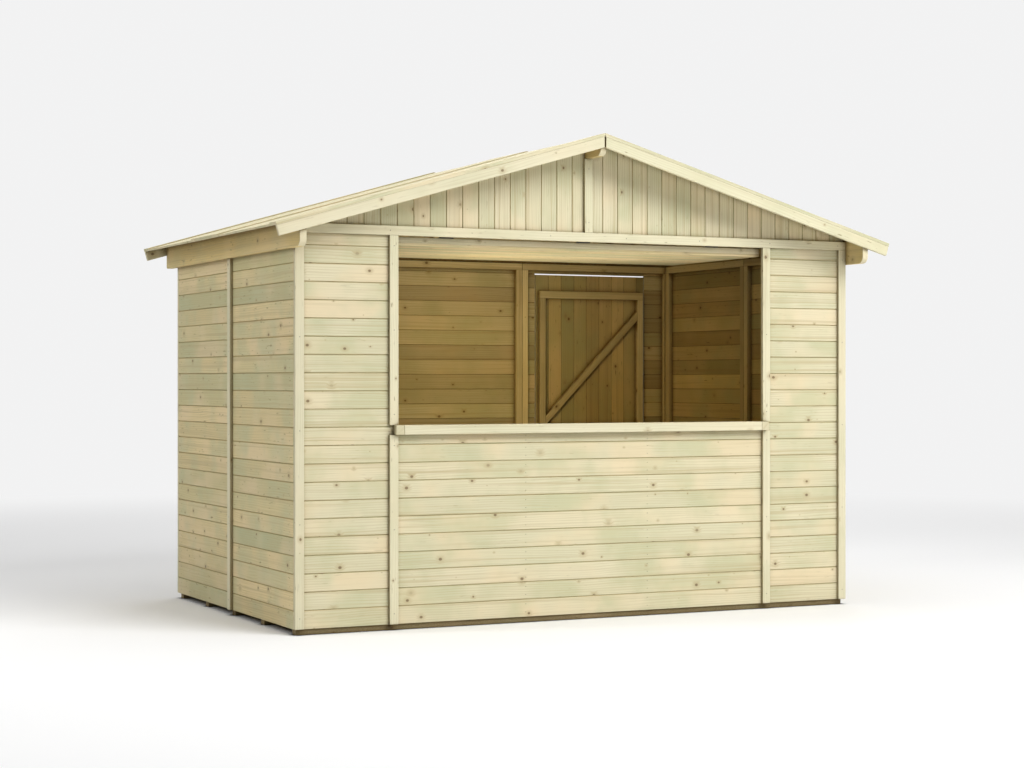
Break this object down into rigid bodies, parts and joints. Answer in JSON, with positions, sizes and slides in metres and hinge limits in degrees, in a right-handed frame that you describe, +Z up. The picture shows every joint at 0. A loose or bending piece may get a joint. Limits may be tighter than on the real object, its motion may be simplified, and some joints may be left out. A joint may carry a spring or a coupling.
{
  "type": "wooden market stall",
  "caption": "Timber market stall with boarded panels, an open serving bay over a counter ledge, a hatch folded up inside, a back door and a shallow gabled roof.",
  "frame": {"origin": "on the ground, under the middle of the roof's outline", "axes": "+X to the right along the front, +Y from the serving front to the back wall, +Z up"},
  "size_m": [3.358, 2.135, 2.3662],
  "materials": {
    "wall_boards": "planed, pressure treated",
    "planed_trim": "planed, pressure treated",
    "frame_timber": "planed, pressure treated",
    "purlin_timber": "planed, pressure treated",
    "roof_boards": "planed, pressure treated",
    "floor_timber": "sawn, pressure treated",
    "black_hinge_steel": "satin black"
  },
  "bodies": {
    "stall": {"back_bargeboards": "planed_trim", "back_gable_boards": "wall_boards", "back_wall_boards": "wall_boards", "back_wall_rails": "frame_timber", "back_wall_uprights": "frame_timber", "bay_strips": "planed_trim", "corner_strips": "planed_trim", "counter_ledge": "planed_trim", "counter_panel_boards": "wall_boards", "counter_panel_rails": "frame_timber", "counter_panel_uprights": "frame_timber", "door_hinge_plates": "black_hinge_steel", "doorway_head_boards": "wall_boards", "doorway_side_boards": "wall_boards", "eave_purlins": "purlin_timber", "floor_bearers": "floor_timber", "floor_boards": "floor_timber", "front_bargeboards": "planed_trim", "front_gable_boards": "wall_boards", "front_wall_boards": "wall_boards", "front_wall_rails": "frame_timber", "front_wall_uprights": "frame_timber", "gable_frames": "frame_timber", "gable_rails": "frame_timber", "gable_strips": "planed_trim", "hatch_boards": "wall_boards", "hatch_hinges": "black_hinge_steel", "hatch_rails": "frame_timber", "hatch_stiles": "frame_timber", "head_strips": "planed_trim", "joint_strips": "planed_trim", "left_roof_boards": "roof_boards", "left_wall_boards": "wall_boards", "left_wall_rails": "frame_timber", "left_wall_uprights": "frame_timber", "ridge_purlin": "purlin_timber", "right_roof_boards": "roof_boards", "right_wall_boards": "wall_boards", "right_wall_rails": "frame_timber", "right_wall_uprights": "frame_timber"},
    "door": {"door_boards": "wall_boards", "door_braces": "frame_timber", "door_hinge_straps": "black_hinge_steel", "door_ledges": "frame_timber", "door_stiles": "frame_timber"}
  },
  "joints": [
    {"name": "back_door_hinge", "type": "hinge", "parent": "stall", "child": "door", "pos_m": [0.632, 0.9435, 0], "axis": [0, 0, 1], "range_deg": [0, 150]}
  ]
}
